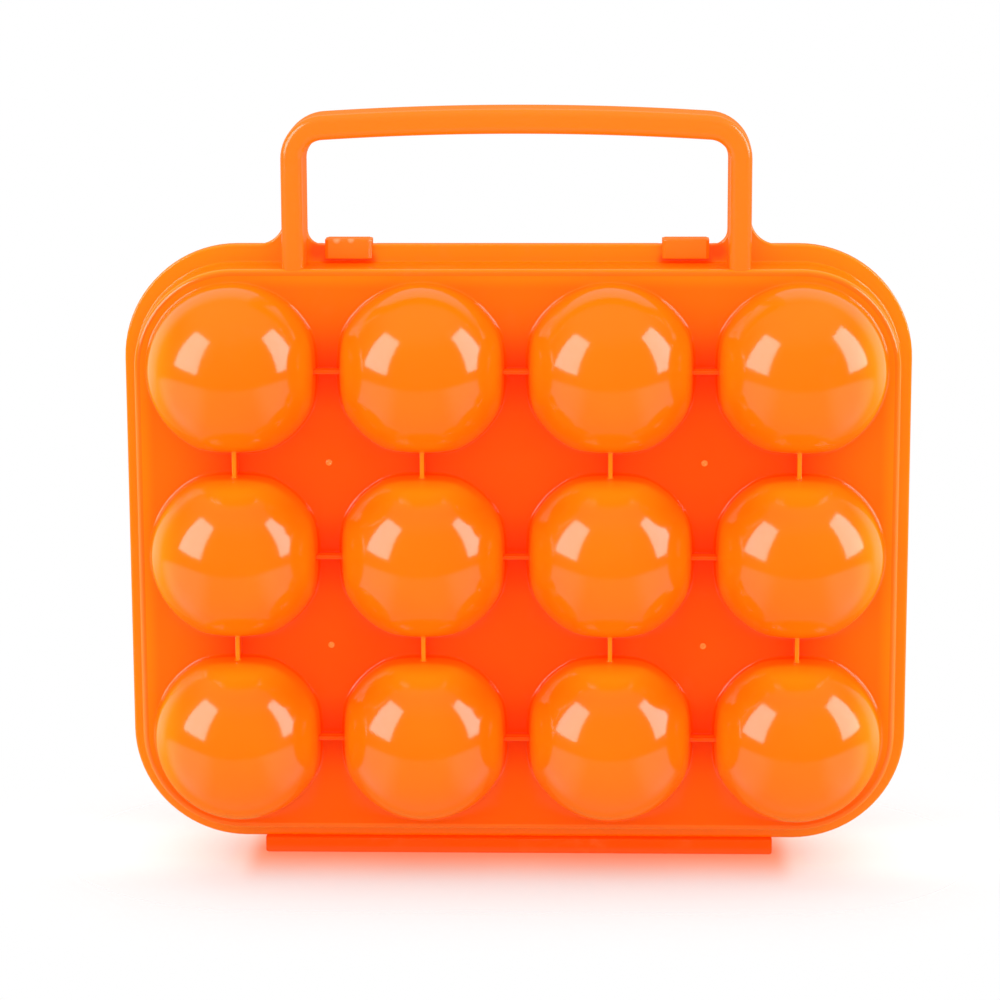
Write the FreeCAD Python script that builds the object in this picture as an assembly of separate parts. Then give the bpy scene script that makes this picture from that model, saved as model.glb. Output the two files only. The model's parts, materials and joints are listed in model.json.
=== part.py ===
import FreeCAD, Part
import math
import os

from FreeCAD import Vector

# Carry box for twelve eggs: two moulded halves that close on each other, joined by a film hinge.
# Millimetres, +Z up. The closed box stands on its hinge leaves, and the origin is the middle of that foot.
# X runs along the width. The parting plane is y = 0, with the base half and its handle on the -Y side.

# Egg cups, in a grid
columns = 4
rows = 3
cell_pitch = 47.4  # between the axes of neighbouring cups, both ways
cup_gap = 6.6  # between the facing flats of neighbouring cups, at the panel
dome_radius = 21.9  # outside of a cup's round end
dome_wall = 1.3
flat_draft = 6.0  # degrees that the flats lean in towards the cup's end
cup_margin = 1.8  # panel between an outer cup and the wall around the pattern
rib_thickness = 1.1
rib_height = 4.0  # above the panel

# Half shell: panel, wall and flange
panel_height = 12.8  # from the parting plane to the outside of the panel
panel_thickness = 1.3
wall_thickness = 1.6  # at the panel
wall_draft = 3.0  # degrees
ridge_radius = 1.45  # rounding where the wall meets the panel
flange_side_reach = 3.6  # flange beyond the wall at the two sides
flange_end_reach = 5.0  # flange beyond the wall at the hinge and handle edges
flange_thickness = 1.95
flange_edge_radius = 0.6
parting_gap = 0.15  # from the parting plane to each flange

# Carry handle, cored from the parting side
handle_span = 117.8  # outside of one leg to the outside of the other
handle_rise = 35.7  # above the flange, at the middle of the grip
handle_leg_width = 6.5
handle_grip_height = 7.4
handle_outer_radius = 9.3
handle_inner_radius = 4.6
handle_crown_radius = 650.0  # slight arch of the grip
handle_setback = 0.5  # front of the handle behind the outside of the panel
handle_edge_radius = 1.7
handle_wall = 1.7
handle_web_pitch = 13.5
handle_web_thickness = 1.2
gusset_radius = 6.0  # hollow corners between the flange and the outsides of the legs
gusset_clearance = 0.3  # between a latch and the hollow corner inside the leg beside it

# Snap latches, hung on the lid's flange
latch_leg_gap = 4.0  # between a latch and the handle leg beside it
latch_width = 11.8
latch_plate_thickness = 1.35
latch_plate_lift = 0.35  # underside of the plate above the flange
latch_lip_thickness = 1.5
latch_lip_drop = 4.2  # lip below the flange's top edge
latch_lip_gap = 0.85  # between the lip and the face of the base flange
latch_corner_radius = 0.7
latch_bevel = 0.8
pivot_radius = 0.8
pivot_clearance = 0.05
pivot_lift = 0.5  # pivot axis above the flange's top edge
catch_reach = 0.5  # catch rib in front of the base flange
catch_height = 0.8
catch_drop = 2.4  # top of the catch rib below the flange's top edge
bead_engagement = 0.2
bead_height = 0.6
bead_clearance = 0.15  # between the bead and the catch rib above it

# Film hinge at the foot
leaf_width = 132.0
leaf_height = 4.0  # flange above the table
leaf_depth = 4.0  # from the parting plane to the leaf's outer face
leaf_corner_radius = 0.8
film_radius = 0.6  # outside of the folded film
film_thickness = 0.25
film_rise = 1.6  # top of the film above the table
film_clearance = 0.03  # film above the table and off the leaves
fold_drop = 0.15  # fold axis below the leaves
fold_relief = 0.9  # radius cleared about the fold axis

# Places that follow from the sizes above
flat_offset = (cell_pitch - cup_gap) / 2
cup_reach = dome_radius + cup_margin
pattern_width = (columns - 1) * cell_pitch + 2 * cup_reach
pattern_height = (rows - 1) * cell_pitch + 2 * cup_reach
wall_width = pattern_width + 2 * wall_thickness
wall_height = pattern_height + 2 * wall_thickness
wall_radius = cup_reach + wall_thickness
flange_width = wall_width + 2 * flange_side_reach
flange_height = wall_height + 2 * flange_end_reach
flange_radius = wall_radius + flange_side_reach
flange_face = parting_gap + flange_thickness
box_centre = leaf_height + flange_height / 2
flange_top = leaf_height + flange_height
handle_front = panel_height - handle_setback
latch_offset = handle_span / 2 - handle_leg_width - latch_leg_gap - latch_width / 2
pivot_depth = parting_gap + flange_thickness / 2
lip_face = flange_face + latch_lip_gap


def rounded_outline(width, height, radius, depth):
    """Closed wire of a rounded rectangle on the box's centre, at a depth in front of the parting plane."""
    a = width / 2 - radius
    b = height / 2 - radius
    bow = radius * math.sqrt(0.5)

    def at(x, z):
        return Vector(x, -depth, box_centre + z)

    edges = []
    for sx, sz in ((1, 1), (-1, 1), (-1, -1), (1, -1)):
        side = at(sx * (a + radius), sz * b)
        end = at(sx * a, sz * (b + radius))
        middle = at(sx * (a + bow), sz * (b + bow))
        edges.append(Part.Arc(side, middle, end).toShape())
    edges.append(Part.makeLine(at(a, b + radius), at(-a, b + radius)))
    edges.append(Part.makeLine(at(-a - radius, b), at(-a - radius, -b)))
    edges.append(Part.makeLine(at(-a, -b - radius), at(a, -b - radius)))
    edges.append(Part.makeLine(at(a + radius, -b), at(a + radius, b)))
    return Part.Wire(Part.__sortEdges__(edges))


def prism(wire, length):
    """Solid from a wire in an XZ plane, carried towards the front."""
    return Part.Face(wire).extrude(Vector(0, -length, 0))


def block(x0, x1, depth0, depth1, z0, z1):
    """Box between two depths in front of the parting plane."""
    return Part.makeBox(x1 - x0, depth1 - depth0, z1 - z0, Vector(x0, -depth1, z0))


def rod(radius, x0, x1, depth, z):
    """Cylinder along X."""
    return Part.makeCylinder(radius, x1 - x0, Vector(x0, -depth, z), Vector(1, 0, 0))


def rear(shape):
    """The same shape on the lid's side of the parting plane."""
    return shape.mirror(Vector(0, 0, 0), Vector(0, 1, 0))


def outer_edges(shape, depth):
    """Edges round the outside of the flat face at a depth."""
    faces = [f for f in shape.Faces if f.BoundBox.YLength < 1e-6 and abs(f.BoundBox.YMin + depth) < 1e-6]
    return max(faces, key=lambda f: f.BoundBox.XLength).OuterWire.Edges


def half_rim():
    """Flange and drafted wall of one half, open inside for the egg cups."""
    spread = 2 * (panel_height - flange_face) * math.tan(math.radians(wall_draft))
    foot = rounded_outline(wall_width + spread, wall_height + spread, wall_radius + spread / 2, flange_face)
    crest = rounded_outline(wall_width, wall_height, wall_radius, panel_height)
    wall = Part.makeLoft([foot, crest], True, True)
    flange = prism(rounded_outline(flange_width, flange_height, flange_radius, parting_gap), flange_thickness)
    inside = prism(rounded_outline(pattern_width, pattern_height, cup_reach, 0), panel_height * 2)
    rim = flange.fuse(wall).cut(inside).removeSplitter()
    rim = rim.makeFillet(ridge_radius, outer_edges(rim, panel_height))
    return rim.makeFillet(flange_edge_radius, outer_edges(rim, flange_face))


def bullet(radius, start):
    """Round cup end about the Y axis, with a straight neck that begins at a depth."""
    tip = Vector(0, -panel_height - radius, 0)
    shoulder = Vector(radius, -panel_height, 0)
    bow = radius * math.sqrt(0.5)
    edges = [
        Part.makeLine(Vector(0, -start, 0), Vector(radius, -start, 0)),
        Part.makeLine(Vector(radius, -start, 0), shoulder),
        Part.Arc(shoulder, Vector(bow, -panel_height - bow, 0), tip).toShape(),
        Part.makeLine(tip, Vector(0, -start, 0)),
    ]
    return Part.Face(Part.Wire(edges)).revolve(Vector(0, 0, 0), Vector(0, 1, 0), 360)


def flats(offsets, start, end):
    """Drafted block whose four sides are a cup's flats. offsets: left, right, low and high, at the panel."""

    def outline(depth):
        lean = (depth - panel_height) * math.tan(math.radians(flat_draft))
        left, right, low, high = [o - lean for o in offsets]
        corners = [(-left, -low), (right, -low), (right, high), (-left, high), (-left, -low)]
        return Part.makePolygon([Vector(x, -depth, z) for x, z in corners])

    return Part.makeLoft([outline(start), outline(end)], True, True)


def cup(row, column):
    """One egg cup of the base half: its share of the panel, the dome and half of each rib to a neighbour."""
    # A side with no neighbour has no flat, and its part of the panel reaches to the wall.
    neighbours = (column > 0, column < columns - 1, row < rows - 1, row > 0)
    edge = [cell_pitch / 2 if n else cup_reach for n in neighbours]
    outer = [flat_offset if n else 2 * dome_radius for n in neighbours]
    inner = [o - dome_wall for o in outer]
    inside = panel_height - panel_thickness
    tip = panel_height + dome_radius + cup_margin
    x = (column - (columns - 1) / 2) * cell_pitch
    z = box_centre + ((rows - 1) / 2 - row) * cell_pitch

    solid = bullet(dome_radius, inside).common(flats(outer, inside - 1, tip))
    solid = solid.fuse(block(-edge[0], edge[1], inside, panel_height, -edge[2], edge[3]))
    half = rib_thickness / 2
    top = panel_height + rib_height
    directions = ((-1, 0), (1, 0), (0, -1), (0, 1))
    for (dx, dz), reach, shared in zip(directions, edge, neighbours):
        if shared:
            rib = block(min(0, dx * reach) - half * abs(dz), max(0, dx * reach) + half * abs(dz), inside, top,
                        min(0, dz * reach) - half * abs(dx), max(0, dz * reach) + half * abs(dx))
            solid = solid.fuse(rib)
    cavity = bullet(dome_radius - dome_wall, 0).common(flats(inner, -1, tip))
    solid = solid.cut(cavity).removeSplitter()
    solid.translate(Vector(x, 0, z))
    outline = prism(rounded_outline(pattern_width, pattern_height, cup_reach, 0), 2 * tip)
    return solid.common(outline)


def arch(half_width, top, radius, bottom):
    """Outline of a handle loop: two legs, round corners and a slightly crowned top, closed below.

    The crown's arc and each corner's arc share a tangent where they meet.
    """
    crown = handle_crown_radius
    crown_z = top - crown
    corner_x = half_width - radius
    corner_z = crown_z + math.sqrt((crown - radius) ** 2 - corner_x ** 2)
    lean = math.asin(corner_x / (crown - radius))
    turn = (lean + math.pi / 2) / 2

    def at(x, z):
        return Vector(x, -parting_gap, z)

    def corner(sign):
        start = at(sign * half_width, corner_z)
        middle = at(sign * (corner_x + radius * math.sin(turn)), corner_z + radius * math.cos(turn))
        end = at(sign * crown * math.sin(lean), crown_z + crown * math.cos(lean))
        return start, middle, end

    right = corner(1)
    left = corner(-1)
    foot_right = at(half_width, bottom)
    foot_left = at(-half_width, bottom)
    return Part.Wire([
        Part.makeLine(foot_right, right[0]),
        Part.Arc(*right).toShape(),
        Part.Arc(right[2], at(0, top), left[2]).toShape(),
        Part.Arc(left[2], left[1], left[0]).toShape(),
        Part.makeLine(left[0], foot_left),
        Part.makeLine(foot_left, foot_right),
    ])


def handle_loop(inset, depth):
    """The handle's solid loop, drawn in all round by an inset, to a depth behind its front."""
    top = flange_top + handle_rise
    bottom = flange_top - flange_end_reach
    outside = arch(handle_span / 2 - inset, top - inset, handle_outer_radius - inset, bottom)
    inner_half = handle_span / 2 - handle_leg_width
    inner_top = top - handle_grip_height
    hole = arch(inner_half + inset, inner_top + inset, handle_inner_radius + inset, bottom - 1)
    return prism(outside, depth).cut(prism(hole, depth))


def carry_handle(rim):
    """Handle with rounded front edges, cored from behind between cross webs, seated on the rim."""
    depth = handle_front - parting_gap
    loop = handle_loop(0, depth)
    bottom = flange_top - flange_end_reach
    front = [e for e in loop.Edges if abs(e.BoundBox.YMax + handle_front) < 1e-6 and e.BoundBox.ZMax > bottom + 1e-6]
    loop = loop.makeFillet(handle_edge_radius, front)
    core = handle_loop(handle_wall, depth - handle_wall)
    core = core.common(block(-handle_span, handle_span, 0, handle_front, flange_top + handle_wall, 2 * flange_top))
    count = int((handle_span / 2 - handle_leg_width) // handle_web_pitch)
    half = handle_web_thickness / 2
    for k in range(-count, count + 1):
        x = k * handle_web_pitch
        core = core.cut(block(x - half, x + half, 0, handle_front, flange_top, 2 * flange_top))
    return loop.cut(core).cut(rim)


def gussets():
    """Hollow corners that carry the flange up to both sides of each handle leg."""
    outside = handle_span / 2
    corners = (
        (outside - handle_leg_width, -1, latch_leg_gap - gusset_clearance),
        (outside, 1, gusset_radius),
    )
    shapes = []
    for side in (-1, 1):
        for edge, out, r in corners:
            bow = r * (1 - math.sqrt(0.5))

            def at(away, up):
                return Vector(side * (edge + out * away), -parting_gap, flange_top + up)

            sunk = -flange_edge_radius
            wire = Part.Wire([
                Part.makeLine(at(0, sunk), at(0, r)),
                Part.Arc(at(0, r), at(bow, bow), at(r, 0)).toShape(),
                Part.makeLine(at(r, 0), at(r, sunk)),
                Part.makeLine(at(r, sunk), at(0, sunk)),
            ])
            shapes.append(prism(wire, flange_thickness))
    return shapes


def latch_spans():
    """Left and right end of each latch along X, by name."""
    half = latch_width / 2
    return {
        "latch_left": (-latch_offset - half, -latch_offset + half),
        "latch_right": (latch_offset - half, latch_offset + half),
    }


def base_rim():
    """Rim of the base half, with the handle's gussets and a catch rib behind each latch."""
    rim = half_rim()
    for gusset in gussets():
        rim = rim.fuse(gusset)
    top = flange_top - catch_drop
    for x0, x1 in latch_spans().values():
        rim = rim.fuse(block(x0, x1, parting_gap, flange_face + catch_reach, top - catch_height, top))
    return rim.removeSplitter()


def lid_rim():
    """Rim of the lid half, with a round groove in its top edge for each latch's pivot."""
    rim = half_rim()
    for x0, x1 in latch_spans().values():
        rim = rim.cut(rod(pivot_radius + pivot_clearance, x0 - 1, x1 + 1, pivot_depth, flange_top + pivot_lift))
    return rear(rim)


def latch(x0, x1):
    """Snap latch: pivot bead on the lid, plate over both flanges and a lip with a snap bead in front."""
    low = flange_top + latch_plate_lift
    high = low + latch_plate_thickness
    front = lip_face + latch_lip_thickness
    plate = block(x0, x1, -pivot_depth, lip_face + latch_lip_thickness / 2, low, high)
    lip = block(x0, x1, lip_face, front, flange_top - latch_lip_drop, high)
    face_edges = [e for e in lip.Edges if e.BoundBox.YLength < 1e-6 and abs(e.BoundBox.YMin + front) < 1e-6]
    lip = lip.makeChamfer(latch_bevel, [e for e in face_edges if e.BoundBox.ZLength > 1e-6])
    nose = [e for e in lip.Edges if abs(e.BoundBox.YMax + front) < 1e-6 and e.BoundBox.ZMin > high - 1e-6]
    body = plate.fuse(lip.makeFillet(latch_corner_radius, nose))
    bead_top = flange_top - catch_drop - catch_height - bead_clearance
    reach = flange_face + catch_reach - bead_engagement
    bead = block(x0 + latch_bevel, x1 - latch_bevel, reach, lip_face, bead_top - bead_height, bead_top)
    pivot = rod(pivot_radius, x0, x1, -pivot_depth, flange_top + pivot_lift)
    return body.fuse(bead).fuse(pivot).removeSplitter()


def hinge_leaf():
    """Foot of one half: a leaf along the flange's lower edge, cleared about the fold axis."""
    half = leaf_width / 2
    leaf = block(-half, half, film_radius + film_clearance, leaf_depth, 0, leaf_height)
    corners = [e for e in leaf.Edges if e.BoundBox.YLength > film_radius and e.BoundBox.ZMax < 1e-6]
    leaf = leaf.makeFillet(leaf_corner_radius, corners)
    return leaf.cut(rod(fold_relief, -half - 1, half + 1, 0, -fold_drop))


def hinge_film():
    """Thin film folded into a U between the two leaves."""
    half = leaf_width / 2 - leaf_corner_radius
    centre = film_radius + film_clearance

    def trough(radius, end):
        pipe = rod(radius, -half - end, half + end, 0, centre)
        return pipe.fuse(block(-half - end, half + end, -radius, radius, centre, film_rise + end))

    return trough(film_radius, 0).cut(trough(film_radius - film_thickness, 1)).removeSplitter()


def build():
    """Every piece of the box by its node name."""
    rim = base_rim()
    pieces = {"base_rim": rim, "lid_rim": lid_rim(), "carry_handle": carry_handle(rim)}
    for row in range(rows):
        for column in range(columns):
            place = f"r{row + 1}c{column + 1}"
            solid = cup(row, column)
            pieces[f"base_cup_{place}"] = solid
            pieces[f"lid_cup_{place}"] = rear(solid)
    for name, (x0, x1) in latch_spans().items():
        pieces[name] = latch(x0, x1)
    leaf = hinge_leaf()
    pieces["base_hinge_leaf"] = leaf
    pieces["lid_hinge_leaf"] = rear(leaf)
    pieces["hinge_film"] = hinge_film()
    return pieces


os.makedirs("parts", exist_ok=True)
for name, solid in build().items():
    solid.exportStep(f"parts/{name}.step")
    print(f"{name}: {len(solid.Solids)} solid, {solid.Volume:.1f} mm3, valid {solid.isValid()}")
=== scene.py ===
import json
import math

import bmesh
import bpy
import numpy as np
from bpy.props import FloatProperty, FloatVectorProperty, PointerProperty
from mathutils import Matrix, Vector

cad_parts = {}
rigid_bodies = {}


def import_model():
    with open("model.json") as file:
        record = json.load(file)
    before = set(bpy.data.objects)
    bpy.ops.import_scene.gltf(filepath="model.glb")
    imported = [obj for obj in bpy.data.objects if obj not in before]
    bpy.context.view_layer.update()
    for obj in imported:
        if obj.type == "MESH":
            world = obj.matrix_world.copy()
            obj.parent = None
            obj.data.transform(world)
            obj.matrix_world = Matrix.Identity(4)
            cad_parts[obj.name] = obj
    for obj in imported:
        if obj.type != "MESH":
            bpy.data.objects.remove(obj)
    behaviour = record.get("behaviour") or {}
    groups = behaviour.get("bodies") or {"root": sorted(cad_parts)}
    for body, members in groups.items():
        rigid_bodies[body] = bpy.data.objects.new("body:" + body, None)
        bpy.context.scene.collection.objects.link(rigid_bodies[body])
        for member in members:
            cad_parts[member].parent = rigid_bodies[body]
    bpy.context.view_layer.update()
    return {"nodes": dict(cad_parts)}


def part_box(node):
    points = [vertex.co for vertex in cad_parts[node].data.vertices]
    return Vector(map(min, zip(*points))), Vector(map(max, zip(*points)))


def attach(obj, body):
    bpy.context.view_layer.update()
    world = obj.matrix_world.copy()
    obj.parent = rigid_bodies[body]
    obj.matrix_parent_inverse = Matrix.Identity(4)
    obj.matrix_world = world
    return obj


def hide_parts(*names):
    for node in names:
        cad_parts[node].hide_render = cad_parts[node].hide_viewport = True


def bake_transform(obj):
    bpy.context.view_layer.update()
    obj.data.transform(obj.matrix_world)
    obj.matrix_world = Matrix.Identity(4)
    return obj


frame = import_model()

bl_info = {
    "name": "Egg carry box",
    "version": (1, 0, 0),
    "blender": (4, 5, 0),
    "location": "View3D > Sidebar > Egg box",
    "description": "Dresses the egg carry box as smooth orange mouldings and sets up its studio",
    "category": "Add Mesh",
}

# Lengths below are in metres. The box stands on its hinge, +Z up, with the parting plane at y = 0.
MM = 0.001
BASE = -1  # the base half and its handle are on the -Y side of the parting plane
LID = 1
BODIES = {BASE: "base_half", LID: "lid_half"}
HALVES = {BASE: "base", LID: "lid"}
LATCHES = ("latch_left", "latch_right")

# Numbers of points: round a cup, along its parts, round the rim and along the handle
TURNS = 200
DOME_ROWS = 40
CAVITY_ROWS = 18
BEND_ROWS = 6
RIM_CORNER = 22
RIM_SIDE = 8
RIM_END = 26
LOOP_CORNER = 14
LOOP_GRIP = 34

SHARP_ANGLE = math.radians(38)  # edges sharper than this stay sharp
MERGE_DISTANCE = 1e-7

# Patterns on the plastic and the paper, as noise cells per metre
MOTTLE_CELLS = 34.0
PATCH_CELLS = 75.0
SCUFF_CELLS = 310.0
HAIRLINE_CELLS = 420.0
GRAIN_CELLS = 1500.0
FIBRE_CELLS = 240.0

# How far a place takes on another colour, from 0 to 1: rubbed wear, spots, painted light and shade on the
# cups, and the backdrop in the gloss
PATCH_COVER = 0.16
SPOT_COVER = 0.75
WALL_LIGHT_COVER = 0.9
GAP_SHADE_COVER = 0.6
FOOT_SHADE_COVER = 0.5
RIDGE_LIGHT_COVER = 0.6
LEVEL_RIB_SHADE_COVER = 0.8
BACKDROP_COVER = 0.6

MOTTLE_SHARE = 0.12  # of the change from the panel's shaded tone to the dome's
PLASTIC_IOR = 1.49
BUMP_STRENGTH = 0.05
BUMP_DEPTH = 0.2 * MM

FLOOR_REACH = 4.0
PAPER_FADE = 110 * MM  # distance from the strip over which the camera loses the paper
PAPER_GLOW = 32 * MM  # distance from the strip over which the paper's painted orange light fades
SENSOR_WIDTH = 36.0
BLACK = (0.0, 0.0, 0.0)

# Soft boxes in front: place, width and height, and roll in degrees
SOFT_BOXES = {
    "left": ((-2.2, -1.41, 1.54), (1.7, 2.55), -10),
    "right": ((2.52, -0.58, 1.58), (1.52, 2.67), 7),
}


def corners(node):
    """Lowest and highest corner of a CAD node, as arrays."""
    low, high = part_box(node)
    return np.array(low), np.array(high)


def cup_centre(row, column):
    """Place of a cup's axis in the XZ plane, from its CAD node."""
    low, high = corners(f"base_cup_r{row}c{column}")
    return (low[0] + high[0]) / 2, (low[2] + high[2]) / 2


# Places that the CAD frame gives
CUP_NODES = [name for name in frame["nodes"] if name.startswith("base_cup_")]
ROWS = max(int(name[-3]) for name in CUP_NODES)
COLUMNS = max(int(name[-1]) for name in CUP_NODES)
PITCH = cup_centre(1, 2)[0] - cup_centre(1, 1)[0]
END_CUP = cup_centre(1, COLUMNS)[0]
RIM_LOW, RIM_HIGH = corners("lid_rim")
CUP_LOW, CUP_HIGH = corners("lid_cup_r1c1")
HANDLE_LOW, HANDLE_HIGH = corners("carry_handle")
HANDLE_DROP = 0.6 * MM  # the grip and the legs' feet sit a little below those of the CAD
HANDLE_TOP = HANDLE_HIGH[2] - HANDLE_DROP
LEAF_LOW, LEAF_HIGH = corners("lid_hinge_leaf")
FILM_LOW, FILM_HIGH = corners("hinge_film")
PARTING_GAP = RIM_LOW[1]
PANEL = RIM_HIGH[1]  # depth of the panel's outer face
DOME_RADIUS = CUP_HIGH[1] - PANEL
PANEL_THICKNESS = PANEL - CUP_LOW[1]
CELL_HALF = (CUP_HIGH[0] - CUP_LOW[0]) / 2
BOX_CENTRE = (RIM_LOW[2] + RIM_HIGH[2]) / 2
FLANGE_TOP = RIM_HIGH[2]
FLANGE_HALF = np.array([RIM_HIGH[0], (RIM_HIGH[2] - RIM_LOW[2]) / 2])

# Depths and distances from the outer cups' axes between which the plastic's colour changes, on the cups
# from the panel's painted shade to the domes' own orange
PANEL_LEVELS = (PANEL + 0.1 * MM, PANEL + 2.5 * MM)
RIDGE_LEVELS = (PANEL - 0.8 * MM, PANEL)
MARGIN = (-4 * MM, 20 * MM)


def length(name, description, millimetres):
    """Length property whose default is given in millimetres."""
    return FloatProperty(name=name, description=description, default=millimetres * MM, min=0.0,
                         unit="LENGTH", precision=5)


def share(name, description, default):
    """Property for a number from 0 to 1."""
    return FloatProperty(name=name, description=description, default=default, min=0.0, max=1.0,
                         subtype="FACTOR")


def tilt(name, description, degrees):
    """Angle property whose default is given in degrees."""
    return FloatProperty(name=name, description=description, default=math.radians(degrees), subtype="ANGLE")


def tint(name, description, colour):
    """Colour property, linear red, green and blue."""
    return FloatVectorProperty(name=name, description=description, default=colour, size=3, min=0.0, max=1.0,
                               subtype="COLOR")


def watts(name, description, power):
    """Property for a lamp's power."""
    return FloatProperty(name=name, description=description, default=power, min=0.0, unit="POWER")


class CupSizes(bpy.types.PropertyGroup):
    """Sizes of the egg cups and of the ribs between them."""

    wall: length("Wall", "Thickness of a dome", 1.3)
    gap: length("Gap", "Between the facing flats of two cups, at the panel", 5.1)
    draft: tilt("Draft", "Lean of the flats towards the dome's tip", 8.0)
    crease: length("Crease", "Width over which a flat's edge is rounded", 2.0)
    foot: length("Foot fillet", "Radius where a dome meets the panel", 0.7)
    rib_thickness: length("Rib thickness", "Thickness of the ribs between cups", 1.1)
    rib_height: length("Rib height", "Height of the ribs above the panel", 4.0)
    rib_rounding: length("Rib rounding", "Radius of a rib's top edges", 0.35)
    rib_foot: length("Rib foot", "Radius where a rib meets the panel", 0.3)


class RimSizes(bpy.types.PropertyGroup):
    """Sizes of the wall and flange round each half."""

    wall: length("Wall", "Thickness of the wall at the panel", 1.6)
    draft: tilt("Draft", "Lean of the wall", 3.0)
    ridge: length("Ridge radius", "Rounding where the wall meets the panel", 1.45)
    side_reach: length("Side reach", "Flange beyond the wall at the sides", 3.6)
    end_reach: length("End reach", "Flange beyond the wall at the hinge and the handle", 5.0)
    flange: length("Flange thickness", "Thickness of the flange", 1.95)
    edge: length("Flange edge", "Rounding of the flange's outer edge", 0.6)
    foot: length("Foot fillet", "Radius where the wall meets the flange", 0.5)
    gusset: length("Outer gusset", "Hollow corners outside the handle's legs", 6.8)
    inner_gusset: length("Inner gusset", "Hollow corners between the legs and the latches", 3.7)
    catch_reach: length("Catch reach", "Catch rib in front of the flange", 0.5)
    catch_height: length("Catch height", "Height of the catch rib", 0.8)
    catch_drop: length("Catch drop", "Catch rib below the flange's top edge", 1.5)


class HandleSizes(bpy.types.PropertyGroup):
    """Sizes of the carry handle."""

    leg: length("Leg width", "Width of each leg at its back", 5.9)
    grip: length("Grip height", "Height of the grip bar at its back", 6.6)
    outer: length("Outer radius", "Outside of the corners", 11.2)
    inner: length("Inner radius", "Inside of the corners", 5.0)
    draft: tilt("Draft", "Lean of the sides towards the front", 1.0)
    crown: length("Crown radius", "Slight arch of the grip", 770.0)
    edge: length("Edge radius", "Rounding of the front edges", 1.9)
    wall: length("Wall", "Thickness of the cored walls", 1.7)
    web_pitch: length("Web pitch", "Between the cross webs of the grip", 13.5)
    web: length("Web thickness", "Thickness of the cross webs", 1.2)


class LatchSizes(bpy.types.PropertyGroup):
    """Sizes of the two snap latches."""

    plate: length("Plate thickness", "Plate over both flanges", 1.35)
    lip: length("Lip thickness", "Lip in front of the base flange", 1.5)
    rise: length("Lip rise", "Lip's lower edge above that of the CAD's", 0.9)
    nose: length("Nose radius", "Rounding from the plate to the lip", 0.7)
    bevel: length("Bevel", "Bevel of the lip's two sides", 0.8)
    pivot: length("Pivot radius", "Bead that turns in the lid's groove", 0.8)
    pivot_clearance: length("Pivot clearance", "Groove beyond the bead", 0.05)
    pivot_lift: length("Pivot lift", "Pivot above the flange's top edge", 0.5)
    bead_reach: length("Bead reach", "Snap bead behind the lip", 0.55)
    bead_height: length("Bead height", "Height of the snap bead", 0.6)
    bead_lift: length("Bead lift", "Snap bead above the lip's lower edge", 0.25)


class HingeSizes(bpy.types.PropertyGroup):
    """Sizes of the film hinge at the foot."""

    corner: length("Corner radius", "Lower corners of the leaves", 0.8)
    relief: length("Fold relief", "Radius cleared about the fold axis", 0.9)
    drop: length("Fold drop", "Fold axis below the leaves", 0.15)
    edge: length("Leaf edge", "Rounding along the leaves' edges", 0.3)
    film: length("Film thickness", "Thickness of the film", 0.25)


class PlasticLook(bpy.types.PropertyGroup):
    """Colours of the moulded plastic, with lit and shaded copies of its orange for painted light and shade,
    and its finish.
    """

    body: tint("Body", "Moulded orange of the cups", (1.0, 0.205, 0.002))
    # Painted shade: a darker copy of the body's orange for the panel between the cups, where the cups shade
    # it
    low_tone: tint("Deep", "Orange of the panel between the cups", (1.0, 0.09, 0.001))
    # Painted shade: darker still on the panel in the gaps along the rows
    gap: tint("Gap", "Orange of the panel in the gaps beside the cups", (1.0, 0.045, 0.0005))
    # Painted shade, lighter: the panel near the rim, less shaded by the cups
    margin: tint("Margin", "Orange of the panel near the rim", (1.0, 0.17, 0.002))
    bar: tint("Bar", "Orange of the handle and the latches", (1.0, 0.22, 0.005))
    # Painted light: a lighter copy of the orange for the rim, as if lit through
    thin: tint("Thin", "Orange of the thin rim, lit through", (1.0, 0.275, 0.002))
    lit: tint("Lit", "Walls and ribs that light comes through", (1.0, 0.36, 0.006))
    strip: tint("Strip", "Orange of the strip in the box's shade", (1.0, 0.12, 0.004))
    pale: tint("Pale", "Rubbed edges and gate marks", (1.0, 0.3, 0.05))
    stressed: tint("Stressed", "Whitened plastic where it flexes", (1.0, 0.47, 0.2))
    roughness: share("Roughness", "Gloss of the clean plastic", 0.1)
    scuff: share("Scuff", "Added roughness of the rubbed patches", 0.12)
    reflection: share("Reflection", "Strength of the surface reflection", 0.5)
    # Painted glow: the plastic emits this red in place of light that comes through it
    through: tint("Light through", "Red light that comes through the thin plastic", (0.12, 0.006, 0.0))


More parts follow.
